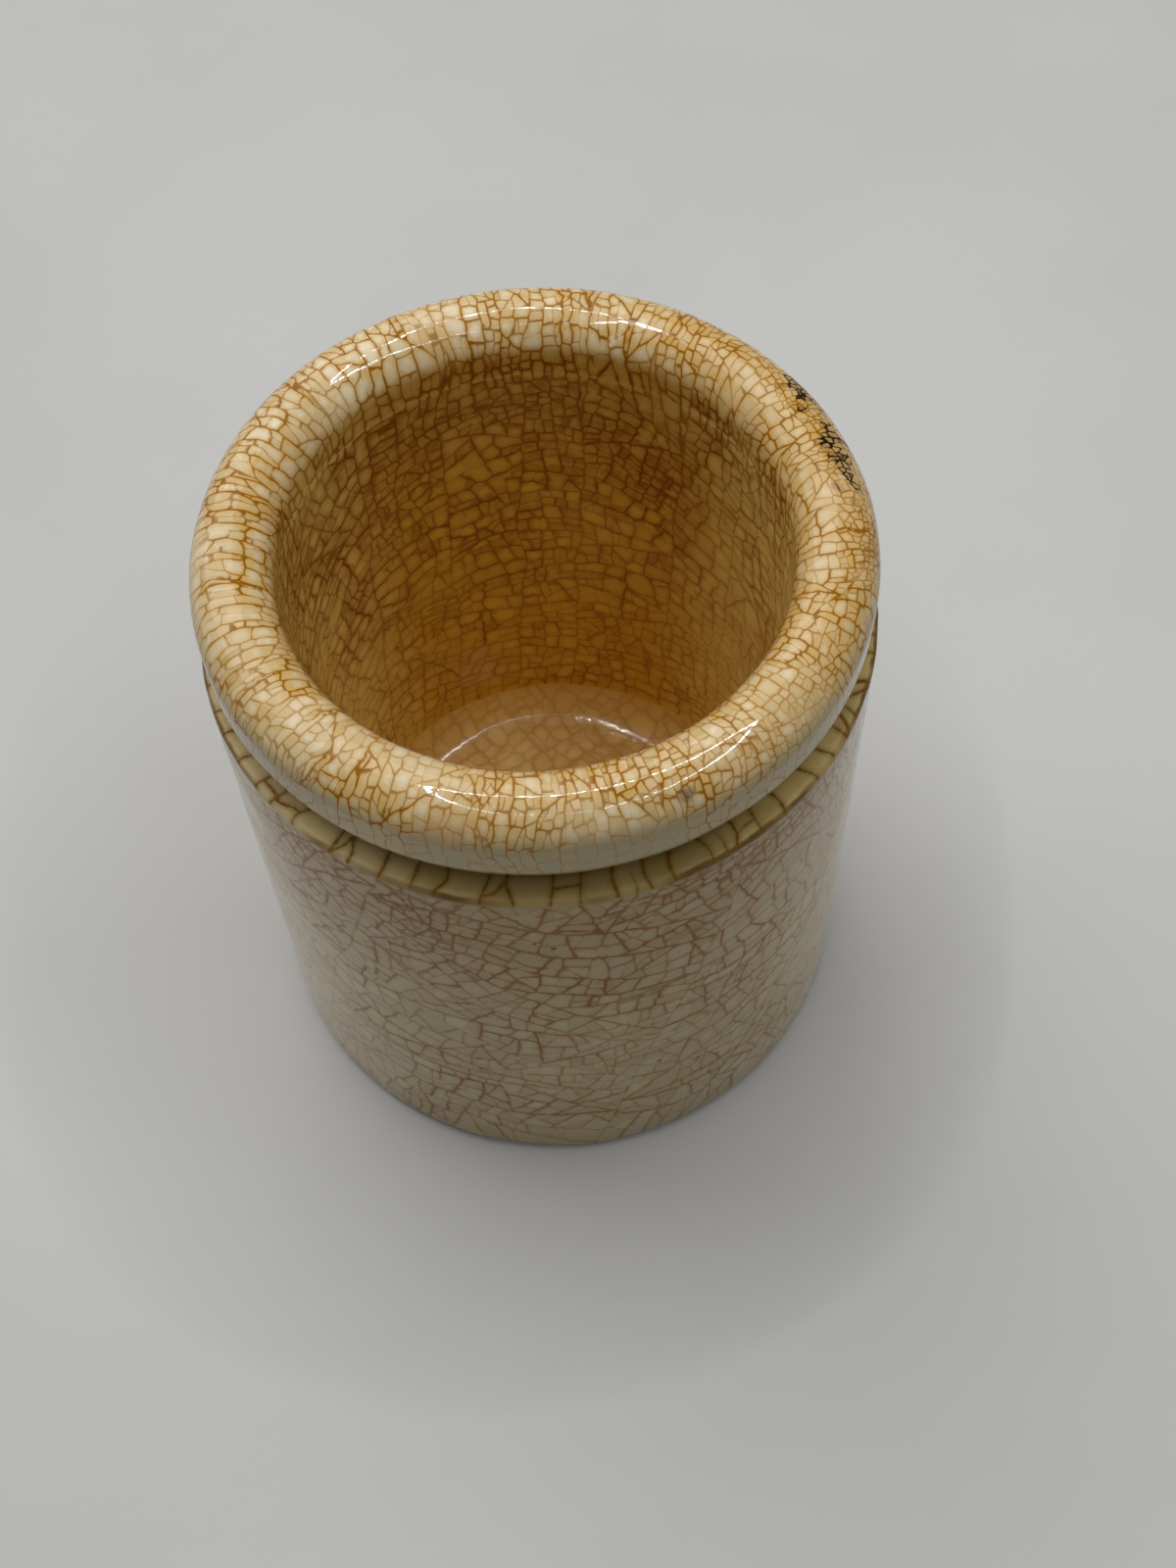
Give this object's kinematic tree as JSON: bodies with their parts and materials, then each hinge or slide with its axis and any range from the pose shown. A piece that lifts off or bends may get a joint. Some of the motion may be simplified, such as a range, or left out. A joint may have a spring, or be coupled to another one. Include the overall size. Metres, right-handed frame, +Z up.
{
  "type": "stoneware pot",
  "caption": "Straight-sided stoneware pot with a thick rolled rim, a tie-down groove under the rim and a crackled cream glaze, open at the top to hold preserves or small things.",
  "frame": {"origin": "centre of the foot, on the surface the pot stands on", "axes": "+Z up along the pot's axis; the pot is round, so X and Y are free, and the picture's viewer stands towards -Y"},
  "size_m": [0.0774, 0.0774, 0.087],
  "materials": {
    "fired_clay": "bare fired stoneware, matt",
    "rim_glaze": "glossy cream crackle glaze, amber in the cracks",
    "groove_glaze": "glossy pooled honey glaze with wide crackle",
    "outer_wall_glaze": "glossy pale grey-cream crackle glaze, pinkish brown in the cracks",
    "inner_wall_glaze": "glossy amber crackle glaze, brown in the cracks",
    "floor_glaze": "glossy amber crackle glaze, brown in the cracks"
  },
  "bodies": {
    "root": {"stoneware_body": "fired_clay", "rim_glaze": "rim_glaze", "groove_glaze": "groove_glaze", "outer_wall_glaze": "outer_wall_glaze", "inner_wall_glaze": "inner_wall_glaze", "floor_glaze": "floor_glaze"}
  },
  "joints": []
}
